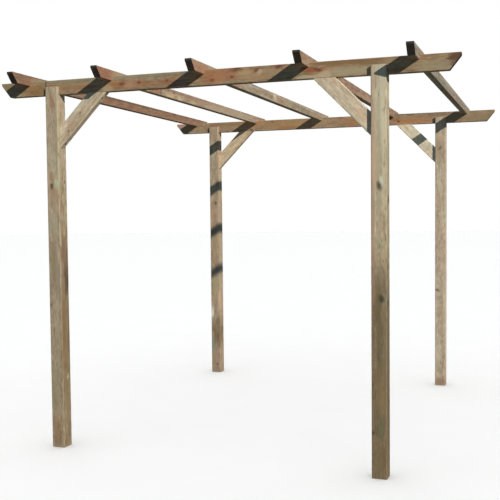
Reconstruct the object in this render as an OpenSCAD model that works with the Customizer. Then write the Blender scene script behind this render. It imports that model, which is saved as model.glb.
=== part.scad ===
// Garden pergola: four posts, two beams let into the post heads,
// five rafters notched over the beams, and a knee brace at each post.
// X runs along the beams, Y along the rafters, Z up from the ground.
// The origin is on the ground under the middle of the beams and rafters.

/* [Posts] */
// Width of the square posts
post_width = 90; // [80:1:140]
// Radius of the eased edges of the posts
post_ease = 6; // [2:0.5:10]
// Spacing of the post centres along the beams
post_span_x = 2150; // [1700:10:2700]
// Spacing of the post centres along the rafters
post_span_y = 2600; // [1800:10:3200]
// Height of the tongues that stand up on both sides of a beam
tongue_height = 52; // [30:1:60]

/* [Beams] */
// Height of the underside of the beams above the ground
beam_underside = 2310; // [1900:10:2600]
// Thickness of the beams
beam_thickness = 45; // [35:1:60]
// Depth of the beams from top to bottom
beam_depth = 95; // [90:1:150]
// How far the beams run on past the middle of the left posts
beam_overhang_left = 395; // [150:5:600]
// How far the beams run on past the middle of the right posts
beam_overhang_right = 455; // [150:5:600]
// How much the lower edge is cut back at each end of a beam
beam_splay = 65; // [30:1:90]
// Upright nose left above the splayed cut of a beam
beam_nose = 15; // [8:1:25]

/* [Rafters] */
// Thickness of the rafters
rafter_thickness = 45; // [35:1:60]
// Depth of the rafters from top to bottom
rafter_depth = 67; // [60:1:110]
// How far the rafters run on past the middle of the beams
rafter_overhang = 200; // [120:5:500]
// Even place of the first rafter, from the left end of the beams
rafter_inset_left = 190; // [100:5:300]
// Even place of the last rafter, from the right end of the beams
rafter_inset_right = 250; // [100:5:300]
// How far each rafter was fixed to the right of its even place, from the left
rafter_shift = [10, -20, -24, 0, 0];
// Depth of the notch that seats a rafter on a beam
rafter_notch = 28; // [15:1:40]
// How much the lower edge is cut back at each end of a rafter
rafter_splay = 46; // [20:1:80]
// Upright nose left above the splayed cut of a rafter
rafter_nose = 12; // [6:1:20]

/* [Braces] */
// Thickness of the knee braces
brace_thickness = 45; // [35:1:60]
// Depth of the knee braces, square to their length
brace_depth = 95; // [70:1:110]
// Reach of a brace down the post and out along the beam
brace_reach = 346; // [260:1:480]

/* [Fit] */
// Gap on each side of a beam in its slot or notch
side_clearance = 0.3; // [0.1:0.1:1]
// Radius of the eased edges of beams, rafters and braces
board_ease = 4; // [1:0.5:6]

/* [Hidden] */
$fn = 48;
// Lets a cutting shape run past the faces that it cuts
cut_over = 5;
beam_length = beam_overhang_left + post_span_x + beam_overhang_right;
beam_top = beam_underside + beam_depth;
rafter_length = post_span_y + 2 * rafter_overhang;
rafter_gaps = len(rafter_shift) - 1;
rafter_pitch = (beam_length - rafter_inset_left - rafter_inset_right) / rafter_gaps;
rafter_underside = beam_top - rafter_notch;
rafter_top = rafter_underside + rafter_depth;
slot_width = beam_thickness + 2 * side_clearance;
post_top = beam_underside + tongue_height;
left_posts_x = beam_overhang_left - beam_length / 2;
post_centres_x = [left_posts_x, left_posts_x + post_span_x];
post_centres_y = [-post_span_y / 2, post_span_y / 2];
post_colour = "#a99d82";
beam_colour = "#94805e";
rafter_colour = "#a07a5c";
brace_colour = "#b8a784";

// A rectangle with round corners, centred on the origin
module eased_section(width, depth, ease) {
    square([width - 2 * ease, depth], center = true);
    square([width, depth - 2 * ease], center = true);
    for (x = [-1, 1], y = [-1, 1])
        translate([x * (width / 2 - ease), y * (depth / 2 - ease)])
            circle(r = ease);
}

// A board on edge along X, centred in X and Y, with its underside at z = 0
module board(length, thickness, depth, ease) {
    translate([-length / 2, 0, depth / 2])
        rotate([90, 0, 90])
            linear_extrude(height = length)
                eased_section(thickness, depth, ease);
}

// The splayed cut below the nose, at the +X end of a board
module splay_cut(length, thickness, depth, splay, nose) {
    slope = splay / (depth - nose);
    run_on = slope * cut_over;
    translate([length / 2, thickness / 2 + cut_over, 0])
        rotate([90, 0, 0])
            linear_extrude(height = thickness + 2 * cut_over)
                polygon([
                    [0, depth - nose],
                    [-splay - run_on, -cut_over],
                    [cut_over, -cut_over],
                    [cut_over, depth - nose]
                ]);
}

// A board with both ends splayed, longest along its top edge
module splayed_board(length, thickness, depth, splay, nose) {
    difference() {
        board(length, thickness, depth, board_ease);
        for (side = [0, 1])
            mirror([side, 0, 0])
                splay_cut(length, thickness, depth, splay, nose);
    }
}

// A post with a slot through its head, open at the top, for the beam.
// Sides are counted 0 for left or front and 1 for right or back.
module post(x_side, y_side) {
    color(post_colour)
        translate([post_centres_x[x_side], post_centres_y[y_side], 0])
            difference() {
                linear_extrude(height = post_top)
                    eased_section(post_width, post_width, post_ease);
                translate([-post_width / 2 - cut_over, -slot_width / 2, beam_underside])
                    cube([post_width + 2 * cut_over, slot_width, tongue_height + cut_over]);
            }
}

// A beam lying in the slots of the two posts on its side
module beam(y_side) {
    color(beam_colour)
        translate([0, post_centres_y[y_side], beam_underside])
            splayed_board(beam_length, beam_thickness, beam_depth, beam_splay, beam_nose);
}

// A rafter across both beams, counted from the left, seated by its notches
module rafter(number) {
    even_x = rafter_inset_left + (number - 1) * rafter_pitch - beam_length / 2;
    at_x = even_x + rafter_shift[number - 1];
    color(rafter_colour)
        translate([at_x, 0, 0])
            difference() {
                translate([0, 0, rafter_underside])
                    rotate([0, 0, 90])
                        splayed_board(rafter_length, rafter_thickness, rafter_depth,
                                      rafter_splay, rafter_nose);
                for (seat_y = post_centres_y)
                    translate([-rafter_thickness / 2 - cut_over, seat_y - slot_width / 2,
                               rafter_underside - cut_over])
                        cube([rafter_thickness + 2 * cut_over, slot_width,
                              rafter_notch + cut_over]);
            }
}

// A brace at 45 degrees, cut upright against the post and level under the beam
module brace(x_side, y_side) {
    full_length = 3 * brace_reach + 2 * brace_depth;
    color(brace_colour)
        translate([post_centres_x[x_side], post_centres_y[y_side], beam_underside - brace_reach])
            mirror([x_side, 0, 0])
                translate([post_width / 2, 0, 0])
                    intersection() {
                        rotate([0, -45, 0])
                            board(full_length, brace_thickness, brace_depth, board_ease);
                        translate([0, -brace_thickness / 2 - cut_over, 0])
                            cube([brace_reach, brace_thickness + 2 * cut_over, brace_reach]);
                    }
}

post(0, 0);  // front_left_post
post(1, 0);  // front_right_post
post(0, 1);  // back_left_post
post(1, 1);  // back_right_post
beam(0);  // front_beam
beam(1);  // back_beam
rafter(1);  // rafter_1
rafter(2);  // rafter_2
rafter(3);  // rafter_3
rafter(4);  // rafter_4
rafter(5);  // rafter_5
brace(0, 0);  // front_left_brace
brace(1, 0);  // front_right_brace
brace(0, 1);  // back_left_brace
brace(1, 1);  // back_right_brace
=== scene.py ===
import math
import random

import bmesh
import bpy
from mathutils import Matrix, Vector


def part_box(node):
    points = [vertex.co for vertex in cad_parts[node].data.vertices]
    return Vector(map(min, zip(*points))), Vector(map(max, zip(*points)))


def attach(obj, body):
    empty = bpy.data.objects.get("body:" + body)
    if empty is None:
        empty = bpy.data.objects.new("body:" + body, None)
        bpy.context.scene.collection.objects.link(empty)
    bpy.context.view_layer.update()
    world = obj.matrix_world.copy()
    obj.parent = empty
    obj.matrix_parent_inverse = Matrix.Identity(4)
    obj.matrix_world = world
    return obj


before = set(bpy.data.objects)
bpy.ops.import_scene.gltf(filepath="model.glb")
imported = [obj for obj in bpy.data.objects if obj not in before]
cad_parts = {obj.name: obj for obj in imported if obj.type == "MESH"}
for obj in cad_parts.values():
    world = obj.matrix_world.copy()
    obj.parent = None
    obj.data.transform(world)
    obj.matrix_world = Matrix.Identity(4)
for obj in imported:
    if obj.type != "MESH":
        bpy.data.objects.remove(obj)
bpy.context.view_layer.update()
print("pergola: frame loaded,", len(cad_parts), "timbers")


# camera first: it stands at eye height, a little to the right of the front
eye = {
    "place": (1.979, -5.782, 1.529),
    "turnLeft": 18.483,  # degrees
    "tiltDown": 2.621,
    "roll": -0.455,
    "lens": 57.25,  # mm
    "sensor": 36.0,
    "shiftX": -0.0738,  # the picture is cut from a wider one
}


def makeCamera(look):
    data = bpy.data.cameras.new("eye")
    data.sensor_width = look["sensor"]
    data.lens = look["lens"]
    data.shift_x = look["shiftX"]
    camera = bpy.data.objects.new("eye", data)
    bpy.context.scene.collection.objects.link(camera)
    turned = Matrix.Rotation(math.radians(look["turnLeft"]), 4, "Z")
    tilted = Matrix.Rotation(math.radians(90 - look["tiltDown"]), 4, "X")
    rolled = Matrix.Rotation(math.radians(look["roll"]), 4, "Z")
    camera.matrix_world = Matrix.Translation(look["place"]) @ turned @ tilted @ rolled
    bpy.context.scene.camera = camera


makeCamera(eye)
print("pergola: camera placed")


def tint(code, shade=(1, 1, 1)):  # a web colour as the linear colour that a shader takes
    parts = [int(code[i:i + 2], 16) / 255 for i in (1, 3, 5)]
    linear = [p / 12.92 if p <= 0.04045 else ((p + 0.055) / 1.055) ** 2.4 for p in parts]
    return [p * s for p, s in zip(linear, shade)] + [1.0]


class Wire:  # an output socket that can be written in sums
    def __init__(self, board, socket):
        self.board = board
        self.socket = socket

    def __add__(self, other):
        return self.board.maths("ADD", self, other)

    def __sub__(self, other):
        return self.board.maths("SUBTRACT", self, other)

    def __rsub__(self, other):
        return self.board.maths("SUBTRACT", other, self)

    def __mul__(self, other):
        return self.board.maths("MULTIPLY", self, other)

    def __truediv__(self, other):
        return self.board.maths("DIVIDE", self, other)

    def __pow__(self, other):
        return self.board.maths("POWER", self, other)

    __radd__ = __add__
    __rmul__ = __mul__


class Board:  # the node board of a material or of the world
    def __init__(self, owner):
        owner.use_nodes = True
        self.owner = owner
        self.tree = owner.node_tree
        self.tree.nodes.clear()

    def node(self, kind, settings, sockets, output=0):
        made = self.tree.nodes.new("ShaderNode" + kind)
        for name, value in settings.items():
            setattr(made, name, value)
        for name, value in sockets.items():
            if isinstance(value, Wire):
                self.tree.links.new(value.socket, made.inputs[name])
            else:
                made.inputs[name].default_value = value
        return Wire(self, made.outputs[output])

    def maths(self, operation, *values):
        return self.node("Math", {"operation": operation}, dict(enumerate(values)))

    def vector(self, operation, *values, output=0):
        return self.node("VectorMath", {"operation": operation}, dict(enumerate(values)), output)

    def mix(self, first, second, share, blend="MIX"):  # colours are its sockets 6 and 7 and output 2
        settings = {"data_type": "RGBA", "blend_type": blend}
        return self.node("Mix", settings, {0: share, 6: first, 7: second}, 2)

    def step(self, value, low, high):  # 0 below low, 1 above high, smooth between
        settings = {"interpolation_type": "SMOOTHSTEP"}
        return self.node("MapRange", settings, {"Value": value, "From Min": low, "From Max": high})

    def least(self, first, second):
        return self.maths("MINIMUM", first, second)

    def most(self, first, second):
        return self.maths("MAXIMUM", first, second)

    def size(self, value):
        return self.maths("ABSOLUTE", value)

    def split(self, vector):
        made = self.tree.nodes.new("ShaderNodeSeparateXYZ")
        self.tree.links.new(vector.socket, made.inputs[0])
        return [Wire(self, made.outputs[i]) for i in range(3)]

    def marks(self, place, lengths, seed, detail=2.0, roughness=0.5):
        # noise whose marks have these lengths, in metres, along, across and through a timber;
        # each seed takes it from another stretch of the noise
        scale = [1 / length for length in lengths]
        moved = self.vector("MULTIPLY_ADD", place, scale, (seed, 1.7 * seed, 2.3 * seed))
        sockets = {"Vector": moved, "Scale": 1.0, "Detail": detail, "Roughness": roughness}
        return self.node("TexNoise", {}, sockets)

    def specks(self, place, look):  # marks as long one way as another
        return self.marks(place, [look["size"]] * 3, look["seed"], look["detail"])

    def bumps(self, height, look):
        sockets = {"Height": height, "Strength": look["strength"], "Distance": look["distance"]}
        return self.node("Bump", {}, sockets)

    def finish(self, kind, shader):
        out = self.tree.nodes.new("ShaderNodeOutput" + kind)
        self.tree.links.new(shader.socket, out.inputs["Surface"])
        return self.owner


def ramp(value, base, gain):  # base where the value is 0, and base plus gain where it is 1
    return base + gain * value


# how each kind of timber lies: the turn in degrees that lays a board along X into its place,
# half its width and depth, and how far the middle of its section is off the middle of its box
lies = {
    "post": {"turn": (0, -90, 0), "half": (0.045, 0.045), "middle": 0.0},
    "beam": {"turn": (0, 0, 0), "half": (0.0225, 0.0475), "middle": 0.0},
    "rafter": {"turn": (0, 0, 90), "half": (0.0225, 0.0335), "middle": 0.0},
    "leftBrace": {"turn": (0, -45, 0), "half": (0.0225, 0.0475), "middle": 0.0475},
    "rightBrace": {"turn": (0, -135, 0), "half": (0.0225, 0.0475), "middle": -0.0475},
}

# tones of the treated softwood; posts are pale and greyish, beams olive, rafters reddish
# the end-grain tone is near black: darker end grain with painted shade added; the sawn ends and the drying
# cracks take it
postTone = {
    "early": "#bca88b", "late": "#a08867", "heart": "#b3927a", "pale": "#cac3a2", "olive": "#a19e7b",
    "red": "#a98468", "knot": "#4d4230", "darkBelow": "#7b6a4f", "worn": "#8d8068", "grey": "#8f897b",
    "endGrainAndShade": "#2c2820",
}
beamTone = {
    "early": "#a1845f", "late": "#7c5d3d", "heart": "#94664a", "pale": "#b3a081", "olive": "#8a815f",
    "red": "#9d6544", "knot": "#5a301d", "darkBelow": "#6e5c3f", "worn": "#ab9b7d", "grey": "#8a8372",
    "endGrainAndShade": "#2a241c",
}
rafterTone = {
    "early": "#a58469", "late": "#845f48", "heart": "#98684f", "pale": "#b8a68c", "olive": "#8d7f64",
    "red": "#96624b", "knot": "#54301f", "darkBelow": "#6e5c3f", "worn": "#ad9880", "grey": "#8a8274",
    "endGrainAndShade": "#28231e",
}
braceTone = {
    "early": "#c8b391", "late": "#a98f6b", "heart": "#bd9a7d", "pale": "#d3c8a8", "olive": "#aaa582",
    "red": "#b78e6e", "knot": "#6a4c35", "darkBelow": "#6e5c3f", "worn": "#cfc3a8", "grey": "#948d7e",
    "endGrainAndShade": "#2f2a22",
}

# the log that a timber is sawn from, in metres
growth = {
    "ringWidth": 0.0042,
    "waver": 1.4,  # how far the rings waver, counted in rings
    "taper": 0.012,  # how much wider the log gets for each metre down
    "sway": 1.1,  # how quickly the middle of the log strays
    "wander": 0.016,  # how far it strays
    "lateFrom": 0.3,  # the share of a ring at which late wood begins, and the one at which it ends
    "lateTo": 0.9,
    "lateShare": (0.2, 0.65),  # its least share, and what the ring adds to it
    "heartFrom": 0.03,  # the heartwood ends between these distances from the pith
    "heartTo": 0.062,
    "heartWander": 0.03,
}

# knots are branches that run out from the pith; a pair is where something begins and is full,
# in squares of the knot's size, or a least value and what the lumps add to it
branch = {
    "rise": 0.35,  # how steeply a branch climbs
    "along": 0.7,  # under 1, a knot is drawn out along the timber
    "haloAlong": 0.45,
    "beyondPith": 60,  # keeps a knot off the far side of the pith
    "bulge": 0.007,  # how far the rings swing out round a knot, in metres
    "bulgeFade": 0.3,
    "fullBulge": 0.011,  # the size of a knot that swings them out fully
    "ragged": (0.3, 1.4),
    "core": (0.1, 0.8),
    "coreDark": (0.4, 1.1),
    "disc": (0.5, 1.5),
    "barkIn": (0.5, 1.0),
    "barkOut": (1.0, 2.0),
    "barkBreaks": (0.4, 0.6),
    "haloFade": (-0.1, -0.3),
}

# noise in the wood: the lengths of its marks along, across and through a timber, in metres,
# what is added to the timber's seed, and the noise's detail and roughness
figure = {
    "lumps": ((0.014, 0.008, 0.008), 3, 3.0, 0.5),
    "waver": ((0.16, 0.02, 0.02), 5, 2.0, 0.5),
    "pale": ((0.5, 0.035, 0.035), 11, 3.0, 0.5),
    "olive": ((0.7, 0.05, 0.05), 17, 3.0, 0.5),
    "red": ((0.3, 0.04, 0.04), 23, 3.0, 0.5),
    "streak": ((0.22, 0.007, 0.007), 29, 4.0, 0.6),
    "fibre": ((0.02, 0.0009, 0.0009), 31, 3.0, 0.65),
    "crackLine": ((0.8, 0.024, 0.024), 37, 1.0, 0.5),
    "crackWhere": ((0.6, 0.07, 0.07), 41, 0.0, 0.5),
    "mottle": ((0.07, 0.03, 0.03), 43, 3.0, 0.5),
    "fringe": ((0.09, 0.016, 0.016), 47, 4.0, 0.6),
    "speckle": ((0.03, 0.01, 0.01), 53, 3.0, 0.6),
}

# what the noise does to the colour: a pair is where a mark begins and is full, or a least share
# and what the mark adds to it
patch = {"pale": (0.42, 0.68), "olive": (0.42, 0.66), "red": (0.5, 0.72)}
shading = {"base": -0.45, "streak": 0.7, "mottle": 0.9, "speckle": 1.3, "share": 0.85}
weather = {
    "darkBelowWander": 0.25,
    "stainFade": (0.1, 2.2),
    "fringeMark": (0.3, 0.7),
    "fringe": (0.3, 2.4),
    "splash": 0.22,  # how high rain splashes dirt up a post
    "splashWander": 0.3,
    "splashShare": 0.3,
    "edge": 0.009,  # how far wear reaches in from an edge
    "wornStreak": 0.5,
    "wornMark": (0.55, 0.95),
    "wornShare": 0.42,
    "wornDarkBelow": 0.8,  # how much of it the darker lower stretch hides
    "skyward": (0.5, 0.95),
    "greyShare": (0.25, 0.5),
    "knotShare": (0.25, 0.4),
    "coreShare": 0.8,
    "barkShare": 0.6,
    "crackHalf": 0.008,
    "crackMark": (0.57, 0.67),
    "crackShare": 0.6,
    "sawn": (0.4, 0.6),
    "sawnShare": (0.68, 0.4),
}

# what each mark adds to the roughness and to the height of the grain, in shares
sheen = {"base": 0.68, "fibre": 0.14, "sawn": 0.1, "late": 0.08, "specular": 0.3}
relief = {"late": 0.25, "fibre": 0.3, "streak": 0.25, "crack": 0.9, "knot": 0.3, "bark": 0.35}
grainBump = {"strength": 0.5, "distance": 0.001}


def stainOrShade(board, colour, place, fringe, spot):  # a soft patch with a ragged fringe
    at, lengths, code, share = spot
    scale = [1 / length for length in lengths]
    back = [-a / length for a, length in zip(at, lengths)]
    gap = board.vector("MULTIPLY_ADD", place, scale, back)
    reach = board.vector("DOT_PRODUCT", gap, gap, output=1) * fringe
    return board.mix(colour, tint(code), (1 - board.step(reach, *weather["stainFade"])) * share)


def knotField(board, place, timber):
    # three fields over a timber: how near the nearest knot is, how near its long halo is,
    # and how far the knots together swing the rings out
    pithY, pithZ = timber["pith"]
    along = branch["along"]
    nearest, around, bulge = None, None, None
    for knotAlong, knotY, knotZ, knotSize, *lean in timber["knots"]:
        fromPith = math.hypot(knotY - pithY, knotZ - pithZ)
        outward = Vector((branch["rise"] * fromPith, knotY - pithY, knotZ - pithZ)).normalized()
        if lean:
            outward = (outward + Vector((lean[0], 0, lean[1]))).normalized()
        perSize = 1 / knotSize ** 2
        gap = board.vector("MULTIPLY_ADD", place, (along, 1, 1), (-along * knotAlong, -knotY, -knotZ))
        squared = board.vector("DOT_PRODUCT", gap, gap, output=1)
        run = board.vector("DOT_PRODUCT", gap, outward, output=1)
        beyondPith = board.maths("LESS_THAN", run, -fromPith) * branch["beyondPith"]
        rim = (squared - run * run) * perSize + beyondPith
        swell = board.maths("EXPONENT", rim * -branch["bulgeFade"]) * min(1, knotSize / branch["fullBulge"])
        longGap = board.vector("MULTIPLY", gap, (branch["haloAlong"], 1, 1))
        longReach = board.vector("DOT_PRODUCT", longGap, longGap, output=1) * perSize + beyondPith
        nearest = rim if nearest is None else board.least(nearest, rim)
        around = longReach if around is None else board.least(around, longReach)
        bulge = swell if bulge is None else bulge + swell
    return nearest, around, bulge


def timberWood(name, timber):
    low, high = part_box(name)
    centre = (low + high) / 2
    lie = lies[timber["lies"]]
    seed = timber["seed"]
    tone = {part: tint(code, timber["shade"]) for part, code in timber["tone"].items()}
    pithY, pithZ = timber["pith"]
    board = Board(bpy.data.materials.new(name + "Wood"))

    # place on the timber: x along the grain, y and z across it
    seen = board.node("TexCoord", {}, {}, "Object")
    turn = [math.radians(angle) for angle in lie["turn"]]
    sockets = {"Vector": seen, "Location": centre, "Rotation": turn}
    place = board.node("Mapping", {"vector_type": "TEXTURE"}, sockets)
    along, across, through = board.split(place)
    mark = {}
    for kind, (lengths, shift, detail, roughness) in figure.items():
        mark[kind] = board.marks(place, lengths, seed + shift, detail, roughness)

    # the middle of the log wanders along the timber
    sockets = {"W": along * growth["sway"] + seed, "Scale": 1.0, "Detail": 1.0}
    stray = board.node("TexNoise", {"noise_dimensions": "1D"}, sockets, "Color")
    strayY, strayZ = board.split(stray)[:2]
    fromPithY = across - pithY - (strayY - 0.5) * growth["wander"]
    fromPithZ = through - pithZ - (strayZ - 0.5) * growth["wander"]
    radius = (fromPithY * fromPithY + fromPithZ * fromPithZ) ** 0.5 + along * growth["taper"]

    # knots: a ragged disc with a dark core, bark here and there round its rim, and a red halo
    nearest, around, bulge = knotField(board, place, timber)
    lumps = mark["lumps"]
    nearest = nearest * ramp(lumps, *branch["ragged"])
    core = (1 - board.step(nearest, *branch["core"])) * ramp(lumps, *branch["coreDark"])
    knot = 1 - board.step(nearest, *branch["disc"])
    barkRing = board.step(nearest, *branch["barkIn"]) * (1 - board.step(nearest, *branch["barkOut"]))
    bark = barkRing * board.step(lumps, *branch["barkBreaks"])
    halo = board.maths("EXPONENT", around * ramp(lumps, *branch["haloFade"]))

    # growth rings: pale early wood that darkens to a thin line of late wood
    ringCount = (radius + bulge * branch["bulge"]) / growth["ringWidth"] + mark["waver"] * growth["waver"]
    phase = board.maths("FRACT", ringCount)
    lateEnd = board.step(phase, growth["lateTo"], 1.0)
    lateWood = board.step(phase, growth["lateFrom"], growth["lateTo"]) * (1 - lateEnd)
    ringNoise = {"W": board.maths("FLOOR", ringCount) + seed}
    ringShare = board.node("TexWhiteNoise", {"noise_dimensions": "1D"}, ringNoise)
    lateShare = lateWood * ramp(ringShare, *growth["lateShare"])

    # broad tints, long along the grain
    heartEdge = radius + (mark["red"] - 0.5) * growth["heartWander"]
    heart = 1 - board.step(heartEdge, growth["heartFrom"], growth["heartTo"])
    colour = board.mix(tone["early"], tone["late"], lateShare)
    colour = board.mix(colour, tone["heart"], heart * timber["heart"])
    for kind in ("pale", "olive"):
        colour = board.mix(colour, tone[kind], board.step(mark[kind], *patch[kind]) * timber[kind])
    redShare = board.step(mark["red"], *patch["red"]) * timber["red"]
    colour = board.mix(colour, tone["red"], board.most(redShare, halo * timber["halo"]))
    light = shading["base"]
    for kind in ("streak", "mottle", "speckle"):
        light = light + shading[kind] * mark[kind]
    colour = board.mix(colour, light, shading["share"], "MULTIPLY")

    # a darker lower stretch, patches seen in the picture, one of them painted shade, and dirt splashed up
    # from the ground
    darkBelowFrom, darkBelowTo, darkBelowShare = timber["darkBelow"]
    edgeOfDarkBelow = along + (mark["olive"] - 0.5) * weather["darkBelowWander"]
    darkBelow = (1 - board.step(edgeOfDarkBelow, darkBelowFrom, darkBelowTo)) * darkBelowShare
    colour = board.mix(colour, board.mix(tone["darkBelow"], light, 1.0, "MULTIPLY"), darkBelow)
    fringe = ramp(board.step(mark["fringe"], *weather["fringeMark"]), *weather["fringe"])
    for spot in timber["stainsAndShade"]:
        colour = stainOrShade(board, colour, place, fringe, spot)
    if timber["lies"] == "post":
        above = along + high.z / 2
        edgeOfSplash = above + (mark["mottle"] - 0.5) * weather["splashWander"]
        splashed = (1 - board.step(edgeOfSplash, 0.0, weather["splash"])) * weather["splashShare"]
        colour = board.mix(colour, board.mix(tone["darkBelow"], light, 1.0, "MULTIPLY"), splashed)

    # fibres worn pale along the edges, and grey weathering on what faces the sky
    halfY, halfZ = lie["half"]
    edgeY = board.step(board.size(across), halfY - weather["edge"], halfY)
    edgeZ = board.step(board.size(through - lie["middle"]), halfZ - weather["edge"], halfZ)
    wornMark = board.step(mark["mottle"] + mark["streak"] * weather["wornStreak"], *weather["wornMark"])
    worn = edgeY * edgeZ * wornMark * (1 - weather["wornDarkBelow"] * darkBelow)
    colour = board.mix(colour, tone["worn"], worn * weather["wornShare"])
    normal = board.node("NewGeometry", {}, {}, "Normal")
    skyward = board.step(board.split(normal)[2], *weather["skyward"])
    greyShare = skyward * ramp(mark["pale"], *weather["greyShare"])
    colour = board.mix(colour, tint(timber["tone"]["grey"]), greyShare)

    # knots over the grain: a soft brown disc, dark in its middle and here and there round its rim
    discShare = knot * ramp(mark["streak"], *weather["knotShare"])
    colour = board.mix(colour, tone["knot"], discShare * timber["knotShare"])
    darkShare = board.most(core * weather["coreShare"], bark * weather["barkShare"])
    colour = board.mix(colour, tone["knot"], darkShare * timber["knotShare"])

    # drying cracks, thin and long
    crackLine = 1 - board.step(board.size(mark["crackLine"] - 0.5), 0.0, weather["crackHalf"])
    crack = crackLine * board.step(mark["crackWhere"], *weather["crackMark"])
    colour = board.mix(colour, tone["endGrainAndShade"], crack * weather["crackShare"])

    # sawn ends drink the stain and show as dark; their near-black tone is painted shade as well
    axis = Matrix.Rotation(turn[2], 3, "Z") @ Matrix.Rotation(turn[1], 3, "Y") @ Vector((1, 0, 0))
    facing = board.size(board.vector("DOT_PRODUCT", normal, axis, output=1))
    sawn = board.step(facing, *weather["sawn"])
    colour = board.mix(colour, tone["endGrainAndShade"], sawn * ramp(mark["speckle"], *weather["sawnShare"]))

    fibre = mark["fibre"]
    roughness = sheen["base"] + sheen["fibre"] * fibre + sheen["sawn"] * sawn - sheen["late"] * lateShare
    height = lateShare * relief["late"] + fibre * relief["fibre"] + mark["streak"] * relief["streak"]
    height = height - crack * relief["crack"] + knot * relief["knot"] - bark * relief["bark"]
    sockets = {
        "Base Color": colour, "Roughness": roughness, "Specular IOR Level": sheen["specular"],
        "Normal": board.bumps(height, grainBump),
    }
    return board.finish("Material", board.node("BsdfPrincipled", {}, sockets))


# knots on the sides that the picture doesn't show: where each may lie in its own stretch, and sizes
hiddenKnots = {"within": (0.15, 0.85), "size": (0.005, 0.011)}


def whorls(seed, length, around, count):  # spreads these knots over a length, seeded
    draw = random.Random(seed)
    places = []
    for i in range(count):
        at = length * ((i + draw.uniform(*hiddenKnots["within"])) / count - 0.5)
        y = around[0] + draw.uniform(-around[2], around[2])
        z = around[1] + draw.uniform(-around[2], around[2])
        places.append((at, y, z, draw.uniform(*hiddenKnots["size"])))
    return places


# where those knots come out: across, through, and how far they stray from there
backLeft = (0.03, 0.045, 0.01)
backRight = (0.03, -0.045, 0.01)
boardBack = (0.0225, 0.0, 0.018)
noDarkBelow = (-9, -8, 0)  # it would end far below the timber
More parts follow.
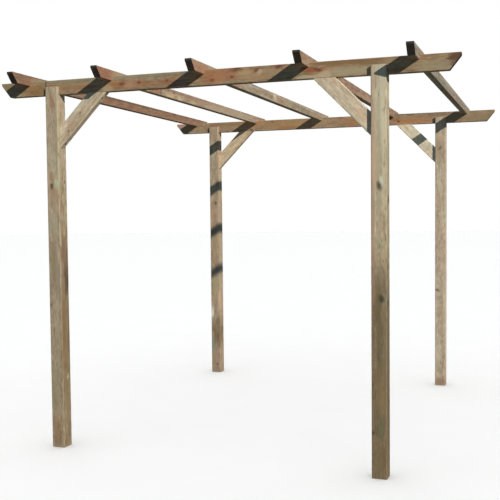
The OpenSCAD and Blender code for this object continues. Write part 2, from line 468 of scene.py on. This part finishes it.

# one entry for each timber, in metres from its middle: the pith lies across and through, heart to
# knotShare are shares of those tones, then come where a darker lower stretch is full, where it ends and its
# share, the knots as (along, across, through, size and for some a lean), and the stains and painted shade
# as (place, lengths, colour, share)
timbers = {
    "front_left_post": {
        "lies": "post", "tone": postTone, "shade": (0.87, 0.88, 0.94), "seed": 1,
        "pith": (0.02, 0.06), "heart": 0.3, "pale": 0.4, "olive": 0.35, "red": 0.3,
        "halo": 0.5, "knotShare": 0.7, "darkBelow": (-0.1, 0.45, 0.25),
        "knots": [(0.535, -0.045, 0.008, 0.012, 0.2, 0.4), (-0.239, -0.045, 0.036, 0.007)]
        + whorls(1, 2.2, backLeft, 5),
        "stainsAndShade": [
            ((1.075, -0.045, -0.004), (0.05, 0.03, 0.02), "#936a4b", 0.6),
            ((0.85, -0.045, -0.046), (0.5, 0.02, 0.016), "#b5b296", 0.45),
            ((0.55, -0.045, -0.026), (0.05, 0.03, 0.018), "#bfc9a8", 0.9),
            ((0.6, -0.045, 0.006), (0.04, 0.03, 0.02), "#9a7657", 0.5),
            ((0.545, -0.045, 0.012), (0.012, 0.02, 0.01), "#4f3d2a", 0.7),
            ((0.474, -0.045, -0.012), (0.09, 0.03, 0.04), "#a08061", 0.5),
            ((0.28, -0.045, 0.0), (0.08, 0.03, 0.04), "#a9a98a", 0.4),
            ((-0.45, 0.0, -0.055), (1.1, 0.08, 0.026), "#75603f", 0.7),
            ((0.04, -0.045, 0.0), (0.16, 0.04, 0.04), "#85755c", 0.45),
            ((-0.05, 0.02, -0.045), (0.13, 0.035, 0.02), "#4f4130", 0.8),
            ((0.1, 0.01, -0.045), (0.13, 0.05, 0.02), "#7d6653", 0.7),
            ((0.03, -0.045, 0.02), (0.12, 0.03, 0.012), "#958a62", 0.55),
            ((-0.05, -0.045, -0.03), (0.12, 0.03, 0.014), "#8c8077", 0.6),
            ((-0.42, -0.02, -0.045), (0.2, 0.018, 0.02), "#7f6140", 0.6),
            ((-0.42, 0.04, -0.045), (0.25, 0.02, 0.02), "#66543d", 0.5),
            ((0.1, -0.045, -0.02), (0.35, 0.02, 0.014), "#a79a83", 0.4),
            ((-0.72, 0.012, -0.045), (0.014, 0.012, 0.012), "#c3bfa6", 0.5),
            ((-0.8, -0.045, 0.025), (0.16, 0.03, 0.03), "#8c8a66", 0.5),
            ((-1.08, -0.045, 0.0), (0.13, 0.04, 0.04), "#8c6b48", 0.5),
        ],
    },
    "front_right_post": {
        "lies": "post", "tone": postTone, "shade": (1.03, 1.03, 1.08), "seed": 2,
        "pith": (0.06, -0.015), "heart": 0.3, "pale": 0.6, "olive": 0.4, "red": 0.2,
        "halo": 0.25, "knotShare": 1.0, "darkBelow": (-0.17, 0.27, 0.95),
        "knots": [(0.5, -0.045, -0.004, 0.0135, 0.55, 0.5), (-0.141, -0.045, -0.016, 0.0125, 0.2, 0.8),
                  (-0.915, -0.045, 0.035, 0.009)] + whorls(2, 2.2, backLeft, 5),
        "stainsAndShade": [
            ((0.85, -0.045, 0.03), (0.35, 0.03, 0.03), "#cdb79b", 0.5),
            ((1.02, -0.045, -0.02), (0.3, 0.04, 0.04), "#dad6bc", 0.45),
            ((0.12, -0.045, -0.03), (0.1, 0.03, 0.016), "#c2b28c", 0.6),
            ((-0.2, -0.045, 0.01), (0.11, 0.04, 0.03), "#6d5e43", 0.5),
            ((-1.06, -0.045, -0.02), (0.1, 0.04, 0.03), "#6b5f42", 0.5),
            ((0.3, -0.04, 0.05), (0.7, 0.03, 0.028), "#a98a72", 0.7),
            ((0.62, -0.045, 0.022), (0.13, 0.03, 0.02), "#cdb094", 0.6),
            ((0.55, -0.045, -0.004), (0.55, 0.03, 0.014), "#a9a688", 0.6),
            ((0.8, -0.045, -0.03), (0.5, 0.03, 0.016), "#d3cbab", 0.55),
            ((0.4, 0.0, -0.06), (0.9, 0.1, 0.024), "#8f8468", 0.7),
            ((-0.75, 0.0, -0.06), (0.9, 0.1, 0.03), "#65563d", 0.8),
            ((0.525, -0.045, -0.018), (0.03, 0.02, 0.012), "#d6dac4", 0.75),
            ((-0.141, -0.045, -0.016), (0.02, 0.02, 0.016), "#2e2418", 0.95),
            ((-0.16, -0.045, -0.03), (0.05, 0.03, 0.014), "#96987c", 0.5),
            ((-0.22, -0.045, -0.02), (0.05, 0.03, 0.016), "#8f7c55", 0.5),
            ((-0.45, -0.045, -0.002), (0.45, 0.03, 0.018), "#6a6146", 0.7),
            ((-0.55, -0.045, 0.045), (0.6, 0.03, 0.014), "#866f5b", 0.6),
            ((-0.5, -0.045, -0.034), (0.4, 0.03, 0.012), "#84755a", 0.5),
            ((-0.72, -0.045, -0.014), (0.09, 0.03, 0.02), "#8e7952", 0.6),
            ((-0.62, -0.045, 0.0), (0.12, 0.03, 0.03), "#8a7350", 0.4),
            ((-0.9, -0.045, -0.012), (0.07, 0.03, 0.02), "#67694c", 0.6),
            ((-1.08, -0.045, 0.0), (0.12, 0.06, 0.05), "#79664a", 0.5),
        ],
    },
    "back_left_post": {
        "lies": "post", "tone": postTone, "shade": (0.83, 0.82, 0.88), "seed": 3,
        "pith": (0.07, 0.02), "heart": 0.3, "pale": 0.35, "olive": 0.25, "red": 0.45,
        "halo": 0.4, "knotShare": 0.8, "darkBelow": (-0.8, -0.3, 0.2),
        "knots": [(0.455, -0.045, -0.014, 0.012), (-1.1, -0.045, -0.015, 0.007)]
        + whorls(3, 2.2, backLeft, 5),
        "stainsAndShade": [
            ((0.91, -0.045, 0.0), (0.09, 0.03, 0.02), "#a3a98a", 0.5),
            ((0.34, -0.045, 0.015), (0.12, 0.03, 0.016), "#b58c62", 0.5),
            ((-0.32, -0.045, 0.0), (0.13, 0.05, 0.04), "#a59c78", 0.6),
            ((0.08, -0.045, 0.0), (0.22, 0.05, 0.05), "#95805f", 0.4),
            ((-0.4, -0.045, 0.015), (0.13, 0.03, 0.014), "#a39d72", 0.5),
            ((-0.35, -0.045, 0.042), (0.16, 0.03, 0.012), "#86685a", 0.6),
            ((-0.48, -0.045, -0.034), (0.12, 0.03, 0.014), "#d0a98f", 0.6),
            ((-0.6, -0.045, 0.034), (0.055, 0.03, 0.02), "#e0d9c6", 0.9),
            ((-0.81, -0.02, -0.02), (0.16, 0.06, 0.05), "#705c43", 0.8),
            ((-0.93, -0.045, 0.034), (0.09, 0.03, 0.024), "#7e8a7c", 0.75),
            ((-1.06, -0.045, 0.0), (0.12, 0.05, 0.05), "#a8876f", 0.5),
        ],
    },
    "back_right_post": {
        "lies": "post", "tone": postTone, "shade": (1.0, 1.03, 1.14), "seed": 4,
        "pith": (0.05, 0.05), "heart": 0.5, "pale": 0.4, "olive": 0.1, "red": 0.4,
        "halo": 0.2, "knotShare": 0.6, "darkBelow": noDarkBelow,
        "knots": [(0.91, -0.045, 0.0, 0.009, 0.6, -0.6), (-0.33, -0.045, 0.03, 0.007, 0, 2.0)]
        + whorls(4, 2.2, backRight, 5),
        "stainsAndShade": [
            ((1.0, -0.045, 0.0), (0.04, 0.03, 0.03), "#cfb9a0", 0.6),
            ((0.87, -0.045, 0.005), (0.14, 0.05, 0.05), "#978369", 0.5),
            ((0.342, -0.045, -0.015), (0.018, 0.03, 0.04), "#d2c4a8", 0.5),
            ((-0.34, -0.045, 0.02), (0.012, 0.03, 0.02), "#7e6b50", 0.6),
            ((-1.15, -0.045, 0.0), (0.04, 0.06, 0.06), "#a07760", 0.6),
        ],
    },
    "front_beam": {
        "lies": "beam", "tone": beamTone, "shade": (0.94, 1.0, 1.14), "seed": 5,
        "pith": (0.055, -0.01), "heart": 0.4, "pale": 0.35, "olive": 0.5, "red": 0.5,
        "halo": 0.8, "knotShare": 0.6, "darkBelow": noDarkBelow,
        "knots": [(-0.6, -0.0225, -0.006, 0.0125, 0.3, 0), (-0.477, -0.0225, -0.003, 0.0095, -0.3, 0),
                  (-0.282, -0.0225, -0.003, 0.008), (0.02, -0.0225, -0.018, 0.009, 0.4, 0.2),
                  (0.15, -0.0225, -0.008, 0.009), (0.19, -0.0225, 0.045, 0.012, 0.8, 0.4),
                  (0.304, -0.0225, 0.02, 0.009, 0.5, 0.6), (0.445, -0.0225, 0.034, 0.009, 0.5, 0.3),
                  (0.687, -0.0225, -0.001, 0.011, 0.6, -0.5)],
        "stainsAndShade": [
            ((-1.22, -0.0225, -0.01), (0.12, 0.05, 0.04), "#8a6534", 0.55),
            ((-1.45, -0.0225, 0.02), (0.06, 0.04, 0.03), "#7d7455", 0.6),
            ((-0.8, -0.0225, 0.046), (0.75, 0.04, 0.018), "#8f8b72", 0.7),
            ((-0.95, -0.0225, -0.008), (0.25, 0.04, 0.014), "#94683f", 0.65),
            ((-0.66, -0.0225, -0.004), (0.05, 0.03, 0.02), "#9a6a36", 0.65),
            ((-0.54, -0.0225, -0.015), (0.045, 0.03, 0.03), "#b18d72", 0.6),
            ((-0.34, -0.0225, -0.012), (0.16, 0.03, 0.02), "#946647", 0.5),
            ((-0.70, -0.0225, -0.034), (0.045, 0.04, 0.03), "#b49c80", 0.7),
            ((0.66, -0.0225, -0.046), (0.1, 0.04, 0.024), "#b9a88a", 0.85),
            ((0.735, -0.0225, -0.032), (0.045, 0.04, 0.036), "#beab8c", 0.85),
            ((0.8, -0.0225, -0.02), (0.05, 0.04, 0.045), "#b09c7d", 0.5),
            # painted shade: a thin dark line down the beam along the front left post's tongue
            ((-1.158, -0.0225, 0.012), (0.007, 0.03, 0.045), "#57472f", 0.8),
            ((0.065, -0.0225, 0.0), (0.035, 0.04, 0.06), "#b48d6b", 0.6),
            ((0.235, -0.0225, 0.012), (0.06, 0.04, 0.02), "#b79f74", 0.65),
            ((0.328, -0.0225, 0.012), (0.016, 0.03, 0.016), "#c9b397", 0.8),
            ((0.16, -0.0225, 0.035), (0.03, 0.03, 0.02), "#8f5a3b", 0.5),
            ((0.05, -0.0225, 0.01), (0.12, 0.05, 0.05), "#a5704d", 0.65),
            ((0.33, -0.0225, -0.01), (0.14, 0.05, 0.03), "#a98a68", 0.5),
            ((0.65, -0.0225, 0.0), (0.09, 0.04, 0.014), "#94522f", 0.75),
            ((0.9, -0.0225, -0.018), (0.17, 0.04, 0.026), "#a99c7c", 0.75),
            ((0.87, -0.0225, 0.036), (0.24, 0.04, 0.024), "#80623b", 0.75),
            ((1.36, -0.0225, -0.02), (0.13, 0.04, 0.03), "#9d9173", 0.6),
            ((1.475, -0.0225, 0.02), (0.05, 0.04, 0.04), "#573522", 0.8),
        ],
    },
    "back_beam": {
        "lies": "beam", "tone": beamTone, "shade": (0.95, 1.0, 1.18), "seed": 6,
        "pith": (0.06, 0.02), "heart": 0.4, "pale": 0.3, "olive": 0.3, "red": 0.6,
        "halo": 0.6, "knotShare": 0.9, "darkBelow": noDarkBelow,
        "knots": [(0.607, -0.0225, 0.011, 0.012), (-0.518, -0.0225, 0.03, 0.007)]
        + whorls(6, 2.8, boardBack, 5),
        "stainsAndShade": [
            ((-1.45, -0.0225, 0.03), (0.05, 0.04, 0.02), "#b58f85", 0.7),
            ((-0.74, -0.0225, 0.02), (0.16, 0.04, 0.03), "#b07c4a", 0.6),
            ((-0.93, -0.0225, 0.024), (0.14, 0.04, 0.024), "#8a7a58", 0.6),
            ((-0.38, -0.0225, -0.03), (0.14, 0.04, 0.016), "#a3683f", 0.5),
            ((-0.35, -0.0225, 0.01), (0.25, 0.04, 0.04), "#a5814f", 0.6),
            ((0.28, -0.0225, -0.01), (0.14, 0.04, 0.03), "#ab7549", 0.55),
            ((0.78, -0.0225, -0.02), (0.18, 0.04, 0.022), "#b2774c", 0.7),
            ((0.8, -0.0225, 0.046), (0.5, 0.04, 0.012), "#5d4a35", 0.6),
            ((1.38, -0.0225, 0.0), (0.14, 0.04, 0.05), "#8f7e5d", 0.5),
        ],
    },
    "rafter_1": {
        "lies": "rafter", "tone": rafterTone, "shade": (0.73, 0.72, 0.73), "seed": 7,
        "pith": (0.05, 0.0), "heart": 0.5, "pale": 0.1, "olive": 0.1, "red": 0.4,
        "halo": 0.5, "knotShare": 0.8, "darkBelow": noDarkBelow,
        "knots": whorls(7, 2.8, boardBack, 6),
        "stainsAndShade": [
            ((-1.33, -0.0225, -0.015), (0.05, 0.04, 0.02), "#8a5740", 0.6),
            ((-1.17, -0.0225, 0.0), (0.14, 0.04, 0.05), "#a08c6a", 0.65),
            ((0.0, -0.0225, 0.028), (1.4, 0.04, 0.013), "#654d3a", 0.65),
        ],
    },
    "rafter_2": {
        "lies": "rafter", "tone": rafterTone, "shade": (0.94, 1.11, 1.24), "seed": 8,
        "pith": (0.05, 0.02), "heart": 0.3, "pale": 0.5, "olive": 0.2, "red": 0.4,
        "halo": 0.5, "knotShare": 0.7, "darkBelow": noDarkBelow,
        "knots": [(-0.72, -0.0225, 0.0, 0.009), (-0.454, -0.0225, 0.011, 0.008)]
        + whorls(8, 2.8, boardBack, 4),
        "stainsAndShade": [
            ((-1.4, -0.0225, 0.0), (0.2, 0.04, 0.05), "#8c5a40", 0.7),
            ((-1.22, -0.0225, 0.0), (0.12, 0.04, 0.05), "#ad9876", 0.65),
            ((-0.3, -0.0225, 0.02), (1.0, 0.04, 0.014), "#8c6b54", 0.65),
            ((-0.78, -0.0225, -0.01), (0.1, 0.04, 0.03), "#a5694a", 0.55),
            ((-0.66, -0.0225, 0.0), (0.022, 0.04, 0.04), "#735a40", 0.6),
            ((-0.87, -0.0225, -0.03), (0.05, 0.04, 0.016), "#cbb995", 0.6),
            ((-0.52, -0.0225, -0.022), (0.06, 0.04, 0.018), "#c9b48c", 0.65),
            ((-0.36, -0.0225, -0.022), (0.05, 0.04, 0.018), "#cbb78f", 0.65),
            ((-0.12, -0.0225, -0.02), (0.08, 0.04, 0.018), "#b5a886", 0.6),
            ((0.2, -0.0225, -0.02), (0.12, 0.04, 0.018), "#bda58a", 0.5),
            ((0.6, -0.0225, 0.0), (0.6, 0.04, 0.05), "#a8947c", 0.5),
        ],
    },
    "rafter_3": {
        "lies": "rafter", "tone": rafterTone, "shade": (0.91, 1.1, 1.22), "seed": 9,
        "pith": (0.06, -0.02), "heart": 0.2, "pale": 0.6, "olive": 0.4, "red": 0.3,
        "halo": 0.4, "knotShare": 0.6, "darkBelow": noDarkBelow,
        "knots": [(-0.092, -0.0225, -0.004, 0.008), (0.141, -0.0225, -0.011, 0.008)]
        + whorls(9, 2.8, boardBack, 4),
        "stainsAndShade": [
            ((-1.4, -0.0225, 0.0), (0.25, 0.04, 0.05), "#a57358", 0.6),
            ((-1.25, -0.0225, -0.018), (0.12, 0.04, 0.03), "#a3805a", 0.6),
            ((-0.02, -0.0225, 0.003), (0.05, 0.03, 0.024), "#d0c5aa", 0.7),
            ((0.1, -0.0225, -0.006), (0.14, 0.04, 0.02), "#a97e66", 0.4),
            ((0.34, -0.0225, 0.0), (0.1, 0.04, 0.03), "#98957a", 0.5),
            ((0.0, -0.0225, 0.036), (1.4, 0.04, 0.008), "#7a6150", 0.5),
        ],
    },
    "rafter_4": {
        "lies": "rafter", "tone": rafterTone, "shade": (0.91, 0.96, 1.0), "seed": 10,
        "pith": (0.045, 0.01), "heart": 0.4, "pale": 0.3, "olive": 0.2, "red": 0.45,
        "halo": 0.5, "knotShare": 0.7, "darkBelow": noDarkBelow,
        "knots": [(-0.279, -0.0225, -0.002, 0.008)] + whorls(10, 2.8, boardBack, 5),
        "stainsAndShade": [
            ((-1.2, -0.0225, 0.0), (0.05, 0.04, 0.04), "#96533a", 0.5),
            ((-0.1, -0.0225, 0.034), (0.6, 0.04, 0.012), "#6e5140", 0.6),
        ],
    },
    "rafter_5": {
        "lies": "rafter", "tone": rafterTone, "shade": (0.82, 1.05, 1.24), "seed": 11,
        "pith": (0.055, 0.0), "heart": 0.15, "pale": 0.6, "olive": 0.5, "red": 0.15,
        "halo": 0.3, "knotShare": 0.6, "darkBelow": noDarkBelow,
        "knots": whorls(11, 2.8, boardBack, 6),
        "stainsAndShade": [
            ((-1.3, -0.0225, -0.01), (0.06, 0.04, 0.03), "#8f5f3e", 0.5),
        ],
    },
    "front_left_brace": {
        "lies": "leftBrace", "tone": braceTone, "shade": (1.03, 1.09, 1.25), "seed": 12,
        "pith": (0.05, 0.01), "heart": 0.2, "pale": 0.4, "olive": 0.35, "red": 0.2,
        "halo": 0.4, "knotShare": 0.6, "darkBelow": noDarkBelow,
        "knots": [(-0.12, -0.0225, 0.03, 0.008), (0.02, -0.0225, 0.045, 0.006)],
        "stainsAndShade": [
            ((-0.02, -0.0225, 0.02), (0.2, 0.03, 0.012), "#a08a6e", 0.5),
            ((-0.08, -0.0225, 0.05), (0.05, 0.03, 0.02), "#b58e74", 0.6),
        ],
    },
    "front_right_brace": {
        "lies": "rightBrace", "tone": braceTone, "shade": (1.13, 1.18, 1.34), "seed": 13,
        "pith": (0.05, -0.02), "heart": 0.2, "pale": 0.4, "olive": 0.2, "red": 0.3,
        "halo": 0.3, "knotShare": 0.5, "darkBelow": noDarkBelow,
        "knots": whorls(13, 0.4, boardBack, 2),
        "stainsAndShade": [((-0.13, -0.0225, -0.05), (0.06, 0.03, 0.04), "#c9a585", 0.4)],
    },
    "back_left_brace": {
        "lies": "leftBrace", "tone": braceTone, "shade": (1.02, 1.01, 1.07), "seed": 14,
        "pith": (0.045, 0.02), "heart": 0.3, "pale": 0.3, "olive": 0.15, "red": 0.3,
        "halo": 0.3, "knotShare": 0.5, "darkBelow": noDarkBelow,
        "knots": whorls(14, 0.4, boardBack, 2),
        "stainsAndShade": [],
    },
    "back_right_brace": {
        "lies": "rightBrace", "tone": braceTone, "shade": (1.24, 1.38, 1.6), "seed": 15,
        "pith": (0.05, 0.0), "heart": 0.1, "pale": 0.6, "olive": 0.2, "red": 0.2,
        "halo": 0.3, "knotShare": 0.5, "darkBelow": noDarkBelow,
        "knots": whorls(15, 0.4, boardBack, 2),
        "stainsAndShade": [],
    },
}

for name, timber in timbers.items():
    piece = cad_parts[name]
    piece.data.materials.clear()
    piece.data.materials.append(timberWood(name, timber))
print("pergola: wood on", len(timbers), "timbers")


# washer-head screws, guessed: they sit on sides that the picture hides, and under the braces
screw = {
    "headRadius": 0.0055,
    "headHeight": 0.0022,
    "sunk": 0.003,  # how far the neck reaches into the wood
    "dome": 0.0009,
    "domeSteps": 3,
    "recess": 0.0024,
    "recessDepth": 0.0014,
    "recessTaper": 0.8,  # how much narrower it is at its floor
    "lobes": 6,
    "drawnIn": 0.72,  # how far the recess is drawn in between its lobes
    "sides": 24,
    "smoothUnder": 35.0,  # degrees
    "zinc": "#857a5e",
    "dull": "#5b5342",
    "rust": "#66482f",
    "cloud": {"size": 0.004, "seed": 51, "detail": 3.0},
    "spots": {"size": 0.0015, "seed": 57, "detail": 2.0},
    "dullMark": (0.4, 0.65),
    "rustMark": (0.58, 0.7),
    "rustShare": 0.6,
    "metallic": 0.8,
    "metallicLost": 0.6,  # where it is rusty
    "roughness": 0.42,
    "roughCloud": 0.3,
    "roughRust": 0.15,
    "bump": {"strength": 0.3, "distance": 0.0001},
    "inPost": {"apart": 0.038, "down": 0.026, "stagger": 0.007},  # down from the top of the post
    "inRafter": {"apart": 0.022, "up": 0.016, "stagger": 0.003},  # up from the top of the beam
    "inBrace": {"near": 0.0335, "far": 0.063, "stagger": 0.0085},  # along from each end
}


def pickFaces(shape, test):  # selects the faces that pass, and nothing else
    bpy.ops.mesh.select_all(action="DESELECT")
    edit = bmesh.from_edit_mesh(shape.data)
    for face in edit.faces:
        if test(face):
            face.select_set(True)
    bmesh.update_edit_mesh(shape.data)


def facesUp(face):  # leaves out even the flattest faces of the dome
    return face.normal.z > 0.99


def modelScrew(look):  # its head stands on the plane z = 0
    depth = look["headHeight"] + look["sunk"]
    bpy.ops.object.select_all(action="DESELECT")
    bpy.ops.mesh.primitive_cylinder_add(
        vertices=look["sides"], radius=look["headRadius"], depth=depth,
        location=(0, 0, look["headHeight"] - depth / 2))
    shape = bpy.context.active_object
    bpy.ops.object.transform_apply(location=True, rotation=True, scale=True)
    bpy.ops.object.mode_set(mode="EDIT")
    bpy.ops.mesh.select_mode(type="FACE")
    pickFaces(shape, facesUp)
    bpy.ops.mesh.bevel(offset=look["dome"], segments=look["domeSteps"], affect="EDGES")
    pickFaces(shape, facesUp)
    bpy.ops.mesh.inset(thickness=look["headRadius"] - look["dome"] - look["recess"])

    # corners of the middle, spaced evenly, are drawn in, which leaves the lobes
    reach = look["recess"] * 1.1  # a little past those corners
    spacing = look["sides"] // look["lobes"]
    bpy.ops.mesh.select_mode(type="VERT")
    edit = bmesh.from_edit_mesh(shape.data)
    for corner in edit.verts:
        place = round(math.atan2(corner.co.y, corner.co.x) * look["sides"] / math.tau)
        inMiddle = corner.co.z > 0 and corner.co.xy.length < reach
        corner.select_set(inMiddle and place % spacing == spacing // 2)
    edit.select_flush_mode()
    bmesh.update_edit_mesh(shape.data)
    drawnIn = (look["drawnIn"], look["drawnIn"], 1)
    bpy.ops.transform.resize(value=drawnIn, center_override=(0, 0, 0))
    bpy.ops.mesh.select_mode(type="FACE")
    pickFaces(shape, lambda face: facesUp(face) and all(v.co.xy.length < reach for v in face.verts))
    bpy.ops.mesh.extrude_region_move(TRANSFORM_OT_translate={"value": (0, 0, -look["recessDepth"])})
    narrowed = (look["recessTaper"], look["recessTaper"], 1)
    bpy.ops.transform.resize(value=narrowed, center_override=(0, 0, 0))
    bpy.ops.object.mode_set(mode="OBJECT")
    bpy.ops.object.shade_smooth_by_angle(angle=math.radians(look["smoothUnder"]))
    return shape


def screwMetal(look):
    board = Board(bpy.data.materials.new("agedZinc"))
    place = board.node("TexCoord", {}, {}, "Object")
    cloud = board.specks(place, look["cloud"])
    spots = board.specks(place, look["spots"])
    colour = board.mix(tint(look["zinc"]), tint(look["dull"]), board.step(cloud, *look["dullMark"]))
    rusty = board.step(spots, *look["rustMark"])
    colour = board.mix(colour, tint(look["rust"]), rusty * look["rustShare"])
    sockets = {
        "Base Color": colour,
        "Metallic": look["metallic"] - look["metallicLost"] * rusty,
        "Roughness": look["roughness"] + look["roughCloud"] * cloud + look["roughRust"] * rusty,
        "Normal": board.bumps(spots, look["bump"]),
    }
    return board.finish("Material", board.node("BsdfPrincipled", {}, sockets))


def driveScrews(pattern, name, places, seed):  # places are points on the wood and the way out of it
    draw = random.Random(seed)
    copies = []
    for point, outward in places:
        head = pattern.copy()
        head.data = pattern.data.copy()
        bpy.context.scene.collection.objects.link(head)
        turned = Matrix.Rotation(draw.uniform(0, math.tau), 4, "Z")
        aimed = Vector(outward).to_track_quat("Z", "Y").to_matrix().to_4x4()
        head.matrix_world = Matrix.Translation(point) @ aimed @ turned
        copies.append(head)
    bpy.ops.object.select_all(action="DESELECT")
    for head in copies:
        head.select_set(True)
    piece = copies[0]
    bpy.context.view_layer.objects.active = piece
    bpy.ops.object.join()
    bpy.ops.object.transform_apply(location=True, rotation=True, scale=True)
    piece.name = name
    piece.data.name = name
    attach(piece, "root")


def postScrews(name, spacing):  # two through the rear tongue, one a little higher than the other
    low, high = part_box(name)
    middle = (low.x + high.x) / 2
    places = []
    for side in (-0.5, 0.5):
        rise = 2 * side * spacing["stagger"] - spacing["down"]
        places.append(((middle + side * spacing["apart"], high.y, high.z + rise), (0, 1, 0)))
    return places


def rafterScrews(name, spacing):  # two into each beam, on the side away from the eye
    low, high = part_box(name)
    places = []
    for beam in ("front_beam", "back_beam"):
        beamLow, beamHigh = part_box(beam)
        middle = (beamLow.y + beamHigh.y) / 2
        for side in (-0.5, 0.5):
            rise = 2 * side * spacing["stagger"] + spacing["up"]
            places.append(((low.x, middle + side * spacing["apart"], beamHigh.z + rise), (-1, 0, 0)))
    return places


def braceScrews(name, spacing):  # two near each end, from the lower edge into the post and the beam
    low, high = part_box(name)
    middle = (low.y + high.y) / 2
    side = 1 if "left" in name else -1
    foot = low.x if side > 0 else high.x
    reach = high.z - low.z
    rises = (spacing["near"], spacing["far"], reach - spacing["far"], reach - spacing["near"])
    places = []
    for rise, shift in zip(rises, (-1, 1, 1, -1)):
        point = (foot + side * rise, middle + shift * spacing["stagger"], low.z + rise)
        places.append((point, (side, 0, -1)))
    return places


def driveAll(look):
    pattern = modelScrew(look)
    pattern.data.materials.append(screwMetal(look))
    count = 0
    for name, timber in timbers.items():
        if timber["lies"] == "beam":
            continue
        if timber["lies"] == "post":
            places = postScrews(name, look["inPost"])
        elif timber["lies"] == "rafter":
            places = rafterScrews(name, look["inRafter"])
        else:
            places = braceScrews(name, look["inBrace"])
        driveScrews(pattern, name + "_screws", places, timber["seed"])
        count += len(places)
    bpy.data.objects.remove(pattern)
    print("pergola:", count, "screws driven")


driveAll(screw)


# studio: a low key light from the front right, soft ones from the left and behind, sky above
# and a pale floor with a light of its own
studio = {
    "key": {"from": (1.0, -0.75, 0.607), "power": 4.2, "angle": 1.0, "colour": (1.0, 0.925, 0.828)},
    "left": {"from": (-1.0, 0.25, 0.6), "power": 3.0, "angle": 30.0, "colour": (1.0, 0.99, 0.96)},
    "back": {"from": (-0.15, 1.0, 0.7), "power": 2.5, "angle": 30.0, "colour": (1.0, 0.99, 0.96)},
    "above": {"from": (0, 0, 1), "power": 3.373, "angle": 120.0, "colour": (1.0, 0.918, 0.8085)},
    "sky": (0.035, 0.13, 0.252, 1.0),
    "ground": (0.178, 0.18, 0.15, 1.0),
    "horizon": 0.1,  # how far the two blend, up and down
    "backdrop": (1.0, 1.0, 1.0, 1.0),
    "floorRadius": 60.0,
    "floorSides": 96,
    "floorTones": ("#f3f3f2", "#f6f6f5"),
    "floorMarks": {"size": 0.4, "seed": 3, "detail": 2.0},
    "floorRoughness": (0.9, 0.05),
}


def sunLamp(name, lamp):
    data = bpy.data.lights.new(name, "SUN")
    data.energy = lamp["power"]
    data.angle = math.radians(lamp["angle"])
    data.color = lamp["colour"]
    made = bpy.data.objects.new(name, data)
    bpy.context.scene.collection.objects.link(made)
    made.rotation_euler = Vector(lamp["from"]).to_track_quat("Z", "Y").to_euler()
    return made


def makeFloor(look):
    bpy.ops.object.select_all(action="DESELECT")
    bpy.ops.mesh.primitive_circle_add(
        vertices=look["floorSides"], radius=look["floorRadius"], fill_type="NGON")
    floor = bpy.context.active_object
    floor.name = "floor"
    board = Board(bpy.data.materials.new("paleFloor"))
    speck = board.specks(board.node("TexCoord", {}, {}, "Object"), look["floorMarks"])
    darker, paler = look["floorTones"]
    colour = board.mix(tint(darker), tint(paler), speck)
    sockets = {"Base Color": colour, "Roughness": ramp(speck, *look["floorRoughness"])}
    floor.data.materials.append(board.finish("Material", board.node("BsdfPrincipled", {}, sockets)))
    floor.visible_diffuse = False  # so that the floor's brightness doesn't light the timbers from below
    floor.visible_glossy = False
    return floor


def makeSky(look):
    world = bpy.data.worlds.new("studio")
    bpy.context.scene.world = world
    board = Board(world)
    upward = board.split(board.node("TexCoord", {}, {}, "Generated"))[2]
    above = board.step(upward, -look["horizon"], look["horizon"])
    around = board.mix(look["ground"], look["sky"], above)
    fill = board.node("Background", {}, {"Color": around})
    backdrop = board.node("Background", {}, {"Color": look["backdrop"]})
    byEye = board.node("LightPath", {}, {}, "Is Camera Ray")
    board.finish("World", board.node("MixShader", {}, {0: byEye, 1: fill, 2: backdrop}))
    bpy.context.scene.view_settings.view_transform = "Standard"


def makeStudio(look):
    floor = makeFloor(look)
    allButFloor = bpy.data.collections.new("allButFloor")
    allButFloor.objects.link(floor)
    for name in ("key", "left", "back"):
        sunLamp(name + "Light", look[name]).light_linking.receiver_collection = allButFloor
    allButFloor.collection_objects[0].light_linking.link_state = "EXCLUDE"
    floorOnly = bpy.data.collections.new("floorOnly")
    floorOnly.objects.link(floor)
    sunLamp("floorLight", look["above"]).light_linking.receiver_collection = floorOnly
    makeSky(look)


makeStudio(studio)
print("pergola: studio lit")
